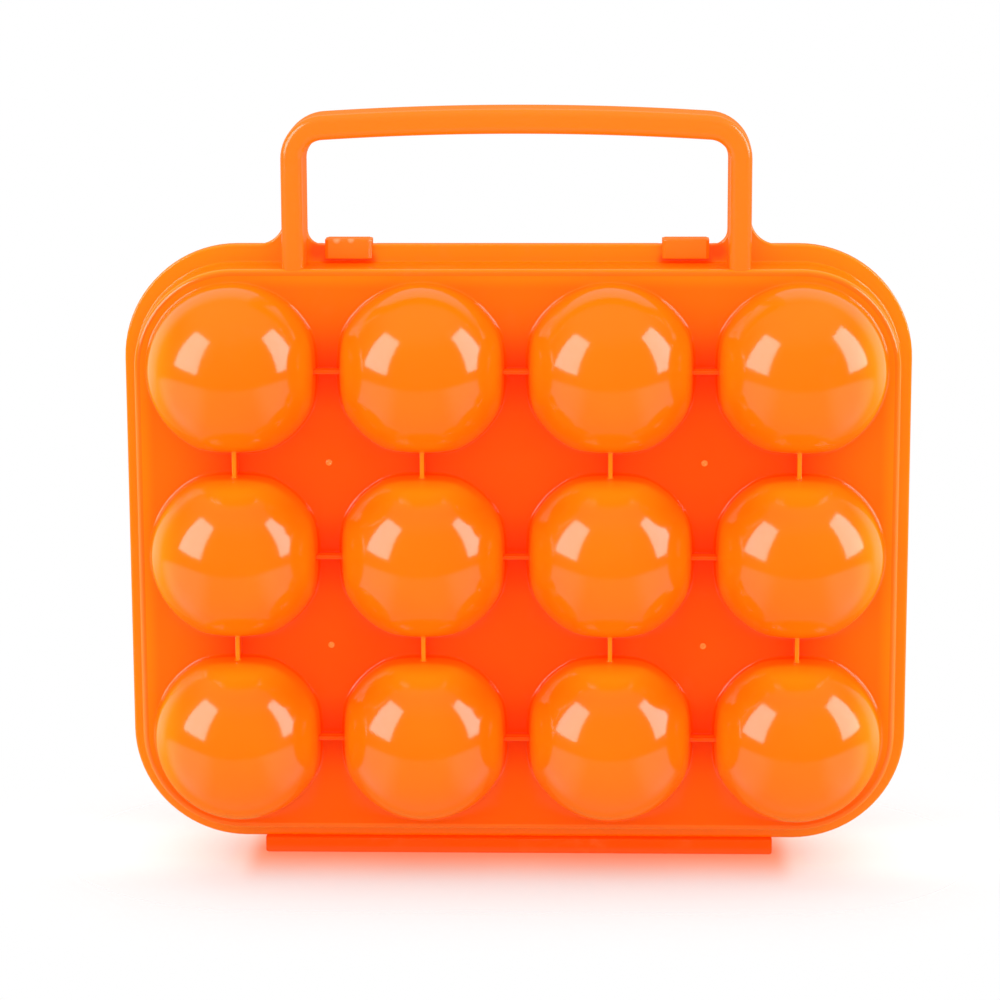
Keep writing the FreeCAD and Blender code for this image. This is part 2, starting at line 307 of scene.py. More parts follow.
class StudioLook(bpy.types.PropertyGroup):
    """Lamps, floor and camera."""

    left: watts("Left box", "Power of the soft box at the left", 87.0)
    right: watts("Right box", "Power of the soft box at the right", 84.0)
    ambient: FloatProperty(name="Ambient", description="Level of the room's light", default=1.08, min=0.0,
                           subtype="FACTOR")
    overhead: share("Overhead", "How much more of it comes from above than from level", 0.3)
    floor: tint("Floor", "Paper that the box stands on", (0.82, 0.82, 0.82))
    # Painted light: the paper tinted orange next to the strip
    glow_tint: tint("Tinted floor", "Paper next to the strip", (0.82, 0.48, 0.25))
    # Painted glow: orange light on the paper next to the strip, for light through the plastic
    through: tint("Light through", "Light on the paper that has come through the plastic", (0.3, 0.12, 0.07))
    lift: tint("Lift", "Light that keeps the paper pale in front of the box", (0.07, 0.07, 0.06))
    # Painted light on the paper beyond the strip's ends, which keeps the box's shade off it
    ends: tint("Ends", "Light that keeps the paper pale beyond the strip's ends", (0.32, 0.32, 0.3))
    warm: tint("Warm", "What the gloss shows of the room behind the box", (0.6, 0.28, 0.09))
    backdrop: tint("Backdrop", "Colour behind the box", (1.0, 1.0, 1.0))
    camera: FloatVectorProperty(name="Camera", description="Place of the camera",
                                default=(0.0221, -0.84, 0.2624), size=3, subtype="XYZ", unit="LENGTH")
    pitch: tilt("Pitch", "Camera below the horizon", 11.379)
    yaw: tilt("Yaw", "Camera towards -X", 1.82)
    roll: tilt("Roll", "Camera about its own axis", -0.217)
    lens: FloatProperty(name="Lens", description="Focal length", default=120.15, min=1.0, unit="CAMERA")


class EggBoxSettings(bpy.types.PropertyGroup):
    """All settings of the egg box."""

    cup: PointerProperty(type=CupSizes)
    rim: PointerProperty(type=RimSizes)
    handle: PointerProperty(type=HandleSizes)
    latch: PointerProperty(type=LatchSizes)
    hinge: PointerProperty(type=HingeSizes)
    plastic: PointerProperty(type=PlasticLook)
    studio: PointerProperty(type=StudioLook)


def grid_faces(rows, columns, wrap_rows=False):
    """Quads over a grid of points numbered row by row: each joins a point to the next along its row
    and to the two beyond them. A row closes on itself, and wrap_rows joins the last row to the first."""
    i = np.arange(rows if wrap_rows else rows - 1)[:, None] * columns
    i_next = (i + columns) % (rows * columns)
    j = np.arange(columns)[None, :]
    j_next = (j + 1) % columns
    return np.stack([i + j, i + j_next, i_next + j_next, i_next + j], -1).reshape(-1, 4).tolist()


def swept(points):
    """Surface of a closed profile carried along a path, as points and faces, from an array of stations by
    profile points. The profile itself closes the two ends."""
    stations, count = points.shape[:2]
    first = list(range(count))
    last = [(stations - 1) * count + i for i in first]
    return points.reshape(-1, 3), grid_faces(stations, count) + [first[::-1], last]


def revolved(points):
    """Surface of an array of rows that each close on themselves. The first and last row are poles."""
    return points.reshape(-1, 3), grid_faces(*points.shape[:2])


def stacked(x, y, z):
    """Array of points from coordinates of any shapes that fit together."""
    return np.stack(np.broadcast_arrays(x, y, z), -1)


def quarter(count=BEND_ROWS):
    """Angles of a quarter turn, as an array."""
    return np.linspace(0, math.pi / 2, count)


def add_piece(name, surfaces, body, nodes, material):
    """Joins surfaces in one mesh, closes their poles and turns their faces outwards, then hangs the piece on
    a body, where one is given, in place of CAD nodes."""
    mesh = bpy.data.meshes.new(name)
    points, faces, start = [], [], 0
    for surface_points, surface_faces in surfaces:
        points.append(surface_points)
        faces += [[start + i for i in face] for face in surface_faces]
        start += len(surface_points)
    mesh.from_pydata(np.concatenate(points), [], faces)
    shell = bmesh.new()
    shell.from_mesh(mesh)
    bmesh.ops.remove_doubles(shell, verts=shell.verts, dist=MERGE_DISTANCE)
    bmesh.ops.recalc_face_normals(shell, faces=shell.faces)
    shell.to_mesh(mesh)
    shell.free()
    mesh.polygons.foreach_set("use_smooth", np.ones(len(mesh.polygons), bool))
    mesh.set_sharp_from_angle(angle=SHARP_ANGLE)
    mesh.materials.append(material)
    piece = bpy.data.objects.new(name, mesh)
    bpy.context.collection.objects.link(piece)
    if body:
        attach(piece, body)
    if nodes:
        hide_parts(*nodes)
    return piece


def rgba(colour):
    """Colour with full cover."""
    return (*colour, 1.0)


class Wire:
    """A node's output in a material. Arithmetic on wires adds Math nodes, and node() adds any other node."""

    def __init__(self, tree, socket=None):
        self.tree = tree
        self.socket = socket

    def node(self, kind, settings=None, sockets=None, output=0):
        """Adds a node of a type, makes its settings, fills its sockets with numbers or wires and returns one
        of its outputs."""
        made = self.tree.nodes.new(kind)
        for key, value in (settings or {}).items():
            setattr(made, key, value)
        for key, value in (sockets or {}).items():
            if isinstance(value, Wire):
                self.tree.links.new(value.socket, made.inputs[key])
            else:
                made.inputs[key].default_value = value
        return Wire(self.tree, made.outputs[output])

    def math(self, operation, *values):
        """A Math node on values, in this wire's material."""
        return self.node("ShaderNodeMath", {"operation": operation}, dict(enumerate(values)))

    def __add__(self, other):
        return self.math("ADD", self, other)

    def __radd__(self, other):
        return self.math("ADD", other, self)

    def __sub__(self, other):
        return self.math("SUBTRACT", self, other)

    def __rsub__(self, other):
        return self.math("SUBTRACT", other, self)

    def __mul__(self, other):
        return self.math("MULTIPLY", self, other)

    def __abs__(self):
        return self.math("ABSOLUTE", self)

    def larger(self, other):
        """The larger of this wire and another value."""
        return self.math("MAXIMUM", self, other)

    def diagonal(self, other):
        """Length across two distances at right angles."""
        return self.math("SQRT", self * self + other * other)

    def fold(self, step):
        """Distance from the nearest even multiple of a step."""
        return self.math("PINGPONG", self, step)

    def part(self, axis):
        """One coordinate of this wire's vector."""
        return self.node("ShaderNodeSeparateXYZ", {}, {0: self}, axis)

    def ramp(self, low, high):
        """Smooth step from 0 to 1 as the wire goes from low to high."""
        return self.node("ShaderNodeMapRange", {"interpolation_type": "SMOOTHSTEP"},
                         {"Value": self, "From Min": low, "From Max": high})

    def noise(self, cells, detail=2.0, stretch=(1.0, 1.0, 1.0)):
        """Noise over this wire's coordinates, with a number of cells per metre, pulled out along an axis."""
        spread = self.node("ShaderNodeVectorMath", {"operation": "MULTIPLY"}, {0: self, 1: stretch})
        return self.node("ShaderNodeTexNoise", {}, {"Vector": spread, "Scale": cells, "Detail": detail})

    def blend(self, first, second):
        """Colour that goes from the first to the second as this wire goes from 0 to 1."""
        ends = [colour if isinstance(colour, Wire) else rgba(colour) for colour in (first, second)]
        return self.node("ShaderNodeMix", {"data_type": "RGBA"}, {0: self, 6: ends[0], 7: ends[1]}, 2)

    def near(self, place, radius, soft):
        """1 within a radius of a place, falling to 0 over a soft edge."""
        distance = self.node("ShaderNodeVectorMath", {"operation": "DISTANCE"}, {0: self, 1: place}, "Value")
        return 1.0 - distance.ramp(radius, radius + soft)


def plastic(name, look, low_tone, margin, body, levels=PANEL_LEVELS, wear=0.5, rough=0.0, through=1.0,
            flow=(1.0, 1.0, 1.0), spots=(), shade=None):
    """Glossy moulded orange: one colour low between the cups, one near the rim and, between two levels of
    depth, over to a third. On the cups the first two are the panel's painted shade and the third is the
    domes' own orange. It is faintly mottled along the flow of the melt, with rubbed patches, hairline scuffs
    and a soft mould texture, and gives off a faint painted red glow in place of light through the plastic.
    spots lists spots of stress whitening and of painted shade, each a place, a radius and a colour. shade is
    a function that paints light and shade into the colour, from the look, the place, the depth, the share of
    the margin and the colour."""
    material = bpy.data.materials.new(name)
    material.use_nodes = True
    tree = material.node_tree
    shader = tree.nodes["Principled BSDF"]
    place = Wire(tree).node("ShaderNodeTexCoord", output="Object")
    depth = abs(place.part("Y"))

    mottle = place.noise(MOTTLE_CELLS, 3.0, flow)
    # On the cups: painted shade low on the panel, giving way to the domes' own orange higher up, with a
    # random mottle
    tone = depth.ramp(*levels) * (1 - MOTTLE_SHARE) + mottle.ramp(0.3, 0.7) * MOTTLE_SHARE
    past_end = abs(place.part("X")) - END_CUP
    past_row = abs(place.part("Z") - BOX_CENTRE) - PITCH
    outer = past_end.ramp(*MARGIN).larger(past_row.ramp(*MARGIN))
    # The panel's painted shade is darker between the cups than near the rim
    colour = tone.blend(outer.blend(low_tone, margin), body)
    if shade:
        colour = shade(look, place, depth, outer, colour)
    rubbed = place.noise(PATCH_CELLS, 4.0).ramp(0.56, 0.74) * place.noise(SCUFF_CELLS, 3.0).ramp(0.42, 0.62)
    colour = (rubbed * (PATCH_COVER * wear)).blend(colour, look.pale)
    for spot, radius, stain in spots:
        colour = (place.near(spot, radius * 0.4, radius) * SPOT_COVER).blend(colour, stain)

    hairline = place.noise(HAIRLINE_CELLS, 2.0, (0.12, 1.0, 1.0)).ramp(0.63, 0.68)
    dull = look.roughness + rough + rubbed * (look.scuff * wear) + hairline * (0.05 * wear) + mottle * 0.03
    surface = place.noise(GRAIN_CELLS) * 0.25 + mottle * 0.5 + hairline * (0.2 * wear)
    bump = place.node("ShaderNodeBump", {},
                      {"Strength": BUMP_STRENGTH, "Distance": BUMP_DEPTH, "Height": surface}, "Normal")

    tree.links.new(colour.socket, shader.inputs["Base Color"])
    tree.links.new(dull.socket, shader.inputs["Roughness"])
    tree.links.new(bump.socket, shader.inputs["Normal"])
    shader.inputs["Specular IOR Level"].default_value = look.reflection
    shader.inputs["IOR"].default_value = PLASTIC_IOR
    # Painted glow: the plastic emits a faint red in place of light that comes through it
    shader.inputs["Emission Color"].default_value = rgba(look.through)
    shader.inputs["Emission Strength"].default_value = through
    return material


def canyon_light(look, place, depth, outer, colour):
    """Painted light and shade on the cups, by where they are: lighter on the walls that face up or
    sideways, on the upright ribs and beside the ridge, and darker on the level ribs, in the gaps beside them
    and along the foot."""
    facing = place.node("ShaderNodeTexCoord", output="Normal")
    sideways = abs(facing.part("X"))
    x = place.part("X")
    z = place.part("Z") - BOX_CENTRE
    height = depth - PANEL
    past_end = abs(x) - END_CUP
    past_row = abs(z) - PITCH
    from_row = z.fold(PITCH / 2)

    # Painted light on the walls between the cups that face up or sideways, and on the end walls
    top_wall_light = facing.part("Z").ramp(0.6, 1.0) * (1.0 - outer)
    end_wall_light = sideways.ramp(0.5, 1.05) * past_end.ramp(8 * MM, 16 * MM)
    wall = top_wall_light.larger(sideways.ramp(0.7, 1.15)).larger(end_wall_light) * height.ramp(4 * MM, 7 * MM)
    colour = (wall * WALL_LIGHT_COVER).blend(colour, look.lit)

    on_panel = 1.0 - height.ramp(0.2 * MM, 3 * MM)
    # Painted shade on the panel in the gaps along the rows
    gap_shade = (1.0 - from_row.ramp(3 * MM, 12 * MM)) * (1.0 - outer) * on_panel
    colour = (gap_shade * GAP_SHADE_COVER).blend(colour, look.gap)
    # Painted shade on the panel along the foot of the box
    foot_shade = (0.0 - z).ramp(PITCH, PITCH + 22 * MM) * on_panel
    colour = (foot_shade * FOOT_SHADE_COVER).blend(colour, look.low_tone)
    # Painted light on the panel beside the ridge
    from_cups = past_end.larger(0.0).diagonal(past_row.larger(0.0))
    ridge_light = from_cups.ramp(CELL_HALF - 3.5 * MM, CELL_HALF) * (on_panel - foot_shade)
    colour = (ridge_light * RIDGE_LIGHT_COVER).blend(colour, look.thin)

    on_rib = height.ramp(2 * MM, 3 * MM) * (1.0 - height.ramp(4.1 * MM, 4.4 * MM))
    # Painted shade on the level ribs
    level_rib_shade = on_rib * (1.0 - from_row.ramp(0.7 * MM, MM)) * (1.0 - past_end.ramp(-MM, MM))
    colour = (level_rib_shade * LEVEL_RIB_SHADE_COVER).blend(colour, look.low_tone)
    # Painted light on the upright ribs
    on_column = x.fold(PITCH / 2).ramp(PITCH / 2 - MM, PITCH / 2 - 0.7 * MM)
    upright_rib_light = on_rib * on_column * (1.0 - past_row.ramp(-MM, MM))
    return upright_rib_light.blend(colour, look.lit)


def rim_light(look, place, depth, outer, colour):
    """Painted shade on the rims: darker on the walls that face up."""
    upward = place.node("ShaderNodeTexCoord", output="Normal").part("Z")
    on_wall = depth.ramp(3 * MM, 5 * MM) * (1.0 - depth.ramp(PANEL - 2 * MM, PANEL - MM))
    return (upward.ramp(0.6, 0.95) * on_wall).blend(colour, look.body)


def smooth_min(first, second, width):
    """The lesser of two lengths, less a quarter of the squared overlap over a width, which rounds the crease
    where one takes over from the other."""
    overlap = np.maximum(width - np.abs(first - second), 0.0)
    return np.minimum(first, second) - overlap ** 2 / (4 * width)


def flat_reach(turn, height, inset, sides, sizes):
    """How far the flats let a cup reach in each direction at each height above the panel: the flat's offset,
    less its lean at that height, over the cosine of the angle to the flat."""
    offset = (PITCH - sizes.gap) / 2 - inset - height * math.tan(sizes.draft)
    reach = np.full(np.broadcast_shapes(turn.shape, height.shape), 10 * DOME_RADIUS)
    for side in sides:
        reach = np.minimum(reach, offset / np.maximum(np.cos(turn - side), 0.05))
    return reach


def cell_edge(turn, round_side):
    """Reach of a cup's panel in each direction: its half width over the greater of cosine and sine, which is
    a square, or the half width alone in the quarter that is a corner of the box."""
    square = CELL_HALF / np.maximum(np.abs(np.cos(turn)), np.abs(np.sin(turn)))
    if round_side is None:
        return square
    in_corner = np.cos(turn - round_side) > math.sqrt(0.5) - 1e-9
    return np.where(in_corner, CELL_HALF, square)


def cup_shell(sizes, sides, round_side):
    """Closed shell of one cup about its own axis, over rows and turns.

    A row goes once round the axis. The rows run from the tip of the dome, where the radius is the dome's
    times the sine of the polar angle and the height its cosine, kept within the flats, down over a
    quarter-round fillet, out across the panel to the cell's edge, back along the panel's inner face, up the
    neck and over the inside of the dome to its tip.
    """
    turn = np.arange(TURNS)[None, :] * (2 * math.pi / TURNS)

    def dome(radius, polar, inset):
        height = radius * np.cos(polar)
        within = flat_reach(turn, height, inset, sides, sizes)
        return smooth_min(radius * np.sin(polar), within, sizes.crease), height

    foot_polar = math.acos(sizes.foot / DOME_RADIUS)
    outer = dome(DOME_RADIUS, np.linspace(0, foot_polar, DOME_ROWS)[:, None], 0.0)
    bend = quarter()[1:, None]
    fillet = outer[0][-1:] + sizes.foot * (1 - np.cos(bend)), sizes.foot * (1 - np.sin(bend))
    edge = cell_edge(turn, round_side)
    out = np.array([[0.5], [1.0]])
    panel = fillet[0][-1:] * (1 - out) + edge * out, 0 * out

    inside = DOME_RADIUS - sizes.wall
    neck_height = np.linspace(-PANEL_THICKNESS, 0, 3)[:, None]
    neck_reach = flat_reach(turn, neck_height, sizes.wall, sides, sizes)
    neck = smooth_min(inside + 0 * neck_height, neck_reach, sizes.crease), neck_height
    back = edge * (1 - out + 0.5) + neck[0][:1] * (out - 0.5), 0 * out - PANEL_THICKNESS
    cavity = dome(inside, np.linspace(math.pi / 2, 0, CAVITY_ROWS)[1:, None], sizes.wall)

    bands = (outer, fillet, panel, back, neck, cavity)
    radius = np.concatenate([np.broadcast_to(r, (len(h), TURNS)) for r, h in bands])
    height = np.concatenate([h for r, h in bands])
    return stacked(radius * np.cos(turn), PANEL + height, radius * np.sin(turn))


def half_rib(sizes, side):
    """Half of the rib from a cup to its neighbour, about the cup's axis: a slab with quarter-round top edges
    and a hollow quarter-round foot, carried from inside the cup's wall to the cell's edge."""
    half, top, rounding = sizes.rib_thickness / 2, sizes.rib_height, sizes.rib_rounding
    hollow = sizes.rib_foot
    bend = quarter()
    across = np.concatenate([
        half + hollow - hollow * np.cos(bend[::-1]), half - rounding + rounding * np.cos(bend),
        -half + rounding - rounding * np.sin(bend), -half - hollow + hollow * np.cos(bend),
        [-half - hollow, half + hollow],
    ])[None, :]
    height = np.concatenate([
        hollow - hollow * np.sin(bend[::-1]), top - rounding + rounding * np.sin(bend),
        top - rounding + rounding * np.cos(bend), hollow - hollow * np.sin(bend),
        [-PANEL_THICKNESS / 2] * 2,
    ])[None, :]
    begin = (PITCH - sizes.gap) / 2 - height * math.tan(sizes.draft) - sizes.wall / 2
    along = begin + (PITCH / 2 - begin) * np.array([[0.0], [1.0]])
    x = along * math.cos(side) - across * math.sin(side)
    z = along * math.sin(side) + across * math.cos(side)
    return stacked(x, PANEL + height, z)


def placed(points, centre, half):
    """Points about a cup's axis, with depth for y, moved to the cup's place in one half of the box."""
    return stacked(points[..., 0] + centre[0], half * points[..., 1], points[..., 2] + centre[1])


class EGGBOX_OT_cups(bpy.types.Operator):
    """Egg cups of both halves: dome with flats towards its neighbours, panel and half ribs"""

    bl_idname = "egg_box.cups"
    bl_label = "Egg cups"

    def execute(self, context):
        settings = context.scene.egg_box
        look = settings.plastic
        # Painted shade on the panel, and painted light and shade by place from canyon_light
        material = plastic("cup_plastic", look, look.low_tone, look.margin, look.body, wear=0.2,
                           shade=canyon_light)
        right, up, left, down = 0.0, math.pi / 2, math.pi, -math.pi / 2
        for row in range(1, ROWS + 1):
            for column in range(1, COLUMNS + 1):
                neighbours = {right: column < COLUMNS, up: row > 1, left: column > 1, down: row < ROWS}
                sides = [side for side, there in neighbours.items() if there]
                bare = [side for side, there in neighbours.items() if not there]
                round_side = None
                if len(bare) == 2:
                    round_side = math.atan2(sum(map(math.sin, bare)), sum(map(math.cos, bare)))
                shell = cup_shell(settings.cup, sides, round_side)
                ribs = [half_rib(settings.cup, side) for side in sides]
                centre = cup_centre(row, column)
                for half, word in HALVES.items():
                    surfaces = [revolved(placed(shell, centre, half))]
                    surfaces += [swept(placed(rib, centre, half)) for rib in ribs]
                    add_piece(f"egg_cup_{word}_r{row}c{column}", surfaces, BODIES[half],
                              [f"{word}_cup_r{row}c{column}"], material)
        return {"FINISHED"}


def rim_path(stations):
    """One turn round the box: for each point, its share of the straight half width and half height, and its
    outward direction. stations are the places along the top and bottom edges, as shares of the half width."""
    arc = quarter(RIM_CORNER)
    sides = np.linspace(1, -1, RIM_SIDE)[1:-1]
    corner, edge, side = np.ones_like(arc), np.ones_like(stations), np.ones_like(sides)
    share_x = np.concatenate([corner, stations[::-1], -corner, -side, -corner, stations, corner, side])
    share_z = np.concatenate([corner, edge, corner, sides, -corner, -edge, -corner, sides[::-1]])
    angle = np.concatenate([arc, edge * math.pi / 2, arc + math.pi / 2, side * math.pi, arc + math.pi,
                            edge * math.pi * 1.5, arc + math.pi * 1.5, 0 * side])
    return share_x, share_z, np.cos(angle), np.sin(angle)


def rim_profile(sizes):
    """Section through the rim, as rows of half width, half height, corner radius and depth: up the inner
    wall, over the quarter-round ridge, down the drafted wall, round a hollow foot, across the flange, round
    its edge and back to the parting face."""
    flange = np.array([*FLANGE_HALF, FLANGE_HALF[0] - END_CUP])
    wall = flange - np.array([sizes.side_reach, sizes.end_reach, sizes.side_reach])
    inner = wall - sizes.wall
    face = PARTING_GAP + sizes.flange
    bend = quarter(7)
    foot_out = (PANEL - face) * math.tan(sizes.draft)

    def rows(outline, offset, depth):
        offset, depth = np.broadcast_arrays(offset, depth)
        return np.column_stack([outline + offset[:, None], depth])

    edge_depth = np.linspace(face - sizes.edge, PARTING_GAP, 11)[1:]
    return np.concatenate([
        rows(inner, 0.0, np.array([PARTING_GAP, PANEL - 0.2 * MM, PANEL])),
        rows(wall, sizes.ridge * (np.sin(bend) - 1), PANEL + sizes.ridge * (np.cos(bend) - 1)),
        rows(wall, foot_out + sizes.foot * (1 - np.cos(bend)), face + sizes.foot * (1 - np.sin(bend))),
        rows(flange, sizes.edge * (np.sin(bend) - 1), face + sizes.edge * (np.cos(bend) - 1)),
        rows(flange, 0.0, edge_depth),
    ])


def latch_span(name):
    """Left and right end of a latch."""
    low, high = corners(name)
    return low[0], high[0]


def rim_surface(sizes, latch, half):
    """Rim of one half: the section carried round the box. In the lid, the top edge is lowered to a round
    groove under each latch: the pivot's height less the root of the squared groove radius less the squared
    distance from the pivot's depth."""
    spans = np.array([latch_span(name) for name in LATCHES]) + np.array([-MM, MM])
    nudge = 0.02 * MM
    cuts = np.concatenate([spans.ravel() - nudge, spans.ravel() + nudge])
    even = np.linspace(-END_CUP, END_CUP, RIM_END)[1:-1]
    stations = np.sort(np.concatenate([even, cuts])) / END_CUP
    share_x, share_z, out_x, out_z = rim_path(stations)
    width, height, radius, depth = (column[:, None] for column in rim_profile(sizes).T)
    x = share_x * (width - radius) + out_x * radius
    z = BOX_CENTRE + share_z * (height - radius) + out_z * radius
    if half == LID:
        groove = latch.pivot + latch.pivot_clearance
        away = depth - (PARTING_GAP + sizes.flange / 2)
        floor = FLANGE_TOP + latch.pivot_lift - np.sqrt(np.maximum(groove ** 2 - away ** 2, 0.0))
        in_span = np.zeros(x.shape, bool)
        for left, right in spans:
            in_span |= (x > left) & (x < right)
        on_edge = in_span & (z > FLANGE_TOP - 2 * sizes.edge) & (np.abs(away) < groove)
        z = np.where(on_edge, np.minimum(z, floor), z)
    points = stacked(x, half * depth, z)
    return points.reshape(-1, 3), grid_faces(*points.shape[:2], wrap_rows=True)


def along_x(ends, profile_depth, profile_z):
    """Bar between two places on X, from a closed profile of depths and heights on the base side."""
    return swept(stacked(np.array(ends)[:, None], -profile_depth[None, :], profile_z[None, :]))


def gusset(sizes, radius, foot_x, out):
    """Hollow corner between the flange's top edge and one side of a leg: a quarter-round hollow closed by the
    leg and the flange, carried through the flange's thickness. At the front the hollow's radius grows by the
    edge radius less its cosine, which rounds its edge as the flange's own."""
    bend = quarter(12)
    turn = quarter()
    front = PARTING_GAP + sizes.flange - 0.03 * MM  # just behind the flange's face
    depth = np.append(PARTING_GAP, front + sizes.edge * (np.sin(turn) - 1))[:, None]
    hollow = radius + np.append(0.0, sizes.edge * (1 - np.cos(turn)))[:, None]
    level = np.ones_like(depth)
    away = np.concatenate([radius - hollow * np.cos(bend), radius * level, -sizes.edge * level], 1)
    up = np.concatenate([radius - hollow * np.sin(bend), -2 * sizes.edge * level, -2 * sizes.edge * level], 1)
    return swept(stacked(foot_x + out * away, -depth, FLANGE_TOP + up))


def shaded_spots(look, sizes, latch):
    """Painted shade: darker red spots on the base flange below the latches and between them and the legs."""
    face = -PARTING_GAP - sizes.flange
    spots = []
    for name, leg_side in zip(LATCHES, (0, 1)):
        ends = latch_span(name)
        below = corners(name)[0][2] + latch.rise - MM
        spots += [((x, face, below), 2.2 * MM, look.low_tone) for x in np.linspace(ends[0] + MM, ends[1] - MM, 4)]
        beside = ends[leg_side] + (leg_side * 2 - 1) * 2.2 * MM
        spots.append(((beside, face, FLANGE_TOP - 1.5 * MM), 2.4 * MM, look.low_tone))
    return spots


class EGGBOX_OT_rims(bpy.types.Operator):
    """Rims of both halves: drafted wall and flange, with the base's gussets and catch ribs"""

    bl_idname = "egg_box.rims"
    bl_label = "Rims"

    def execute(self, context):
        settings = context.scene.egg_box
        sizes = settings.rim
        look = settings.plastic
        # Painted light and shade: the rim's lighter orange, the panel's shaded tone at the ridge, and painted
        # shade below the latches and on walls that face up
        material = plastic("rim_plastic", look, look.thin, look.thin, look.margin, RIDGE_LEVELS, rough=0.03,
                           spots=shaded_spots(look, sizes, settings.latch), shade=rim_light)
        surfaces = [rim_surface(sizes, settings.latch, BASE)]
        outside = HANDLE_HIGH[0]
        for sign in (-1, 1):
            surfaces.append(gusset(sizes, sizes.gusset, sign * outside, sign))
            surfaces.append(gusset(sizes, sizes.inner_gusset, sign * (outside - settings.handle.leg), -sign))
        face = PARTING_GAP + sizes.flange
        rear, front = face - 0.5 * MM, face + sizes.catch_reach
        top = FLANGE_TOP - sizes.catch_drop
        bottom = top - sizes.catch_height
        for name in LATCHES:
            surfaces.append(along_x(latch_span(name), np.array([rear, front, front, rear]),
                                    np.array([bottom, bottom, top, top])))
        add_piece("rim_base", surfaces, BODIES[BASE], ["base_rim"], material)
        lid = [rim_surface(sizes, settings.latch, LID)]
        add_piece("rim_lid", lid, BODIES[LID], ["lid_rim"], material)
        return {"FINISHED"}


def arch(half_width, top, radius, sizes, leg_heights):
    """Line over a handle loop from the left foot to the right: a straight leg, a quarter-round corner, the
    crowned grip and the same again. The grip is an arc of the crown radius, and each corner's arc runs into
    it where both have the same lean."""
    crown_z = top - sizes.crown
    corner_x = half_width - radius
    corner_z = crown_z + math.sqrt((sizes.crown - radius) ** 2 - corner_x ** 2)
    lean = math.asin(corner_x / (sizes.crown - radius))
    leg_z = np.append(leg_heights, np.linspace(leg_heights[-1], corner_z, 5)[1:-1])
    turn = np.linspace(-math.pi / 2, -lean, LOOP_CORNER)
    sweep = np.linspace(-lean, lean, LOOP_GRIP)[1:-1]
    x = np.concatenate([np.full(len(leg_z), -half_width), -corner_x + radius * np.sin(turn),
                        sizes.crown * np.sin(sweep)])
    z = np.concatenate([leg_z, corner_z + radius * np.cos(turn), crown_z + sizes.crown * np.cos(sweep)])
    mirrored = slice(len(leg_z) + len(turn) - 1, None, -1)
    return np.append(x, -x[mirrored]), np.append(z, z[mirrored])


def handle_surface(sizes, rim):
    """Handle loop: a channel section carried along it. Across, the section runs from the inner arch to the
    outer one, and both sides lean in by the depth times the tangent of the draft; its two front edges are
    quarter rounds, and its core is open behind and stops above the flange."""
    outside, front = HANDLE_HIGH[0], -HANDLE_LOW[1]
    core_start = FLANGE_TOP + sizes.wall
    step = 0.01 * MM
    foot = HANDLE_LOW[2] - HANDLE_DROP
    legs = np.array([foot, FLANGE_TOP, FLANGE_TOP + step, core_start, core_start + step])
    outer_x, outer_z = arch(outside, HANDLE_TOP, sizes.outer, sizes, legs)
    inner_x, inner_z = arch(outside - sizes.leg, HANDLE_TOP - sizes.grip, sizes.inner, sizes, legs)
    inner = np.stack([inner_x, inner_z], -1)[:, None]
    across = np.stack([outer_x, outer_z], -1)[:, None] - inner
    thick = np.linalg.norm(across, axis=-1)
    low = outer_z[:, None]
    rear_depth = np.where(low > FLANGE_TOP + step / 2, PARTING_GAP, PARTING_GAP + rim.flange)
    core_depth = np.where(low > core_start + step / 2, front - sizes.wall, rear_depth)

    bend = quarter(8)
    blank, lip = np.zeros(8), 0.25 * MM
    # Each point of the section: its distance from the inner arch, its share of the thickness, and its depth,
    # as an amount and as shares of the rear and core depths.
    from_inner = np.concatenate([[0.0], sizes.edge * (1 - np.cos(bend)), sizes.edge * (np.sin(bend) - 1),
                                 [0.0, -lip, -sizes.wall + lip, -sizes.wall, -sizes.wall],
                                 [sizes.wall, sizes.wall, sizes.wall - lip, lip]])
    of_thick = np.concatenate([[0.0], blank, blank + 1, [1.0] * 5, [0.0] * 4])
    amount = np.concatenate([[lip], front + sizes.edge * (np.sin(bend) - 1),
                             front + sizes.edge * (np.cos(bend) - 1),
                             [lip, 0.0, 0.0, lip, 0.0, 0.0, lip, 0.0, 0.0]])
    of_rear = np.concatenate([[1.0], blank, blank, [1.0, 1.0, 1.0, 1.0, 0.0, 0.0, 1.0, 1.0, 1.0]])
    of_core = np.concatenate([[0.0], blank, blank, [0.0, 0.0, 0.0, 0.0, 1.0, 1.0, 0.0, 0.0, 0.0]])
    depth = amount + of_rear * rear_depth + of_core * np.maximum(core_depth, rear_depth + lip)
    lean_in = (1 - 2 * of_thick) * (depth - PARTING_GAP) * math.tan(sizes.draft)
    reach = from_inner + of_thick * thick + lean_in
    place = inner + across / thick[..., None] * reach[..., None]
    return swept(stacked(place[..., 0], -depth, place[..., 1]))


def handle_webs(sizes):
    """Cross webs in the grip's core: thin plates across the channel, each at the crown's height there."""
    count = int((HANDLE_HIGH[0] - sizes.leg) // sizes.web_pitch)
    sunk = 0.3 * MM
    front = -HANDLE_LOW[1] - sizes.wall + sunk
    depth = np.array([PARTING_GAP, front, front, PARTING_GAP])
    webs = []
    for x in np.arange(-count, count + 1) * sizes.web_pitch:
        crown = HANDLE_TOP - sizes.crown + math.sqrt(sizes.crown ** 2 - x ** 2)
        low = crown - sizes.grip + sizes.wall - sunk
        high = crown - sizes.wall + sunk
        webs.append(along_x((x - sizes.web / 2, x + sizes.web / 2), depth, np.array([low, low, high, high])))
    return webs


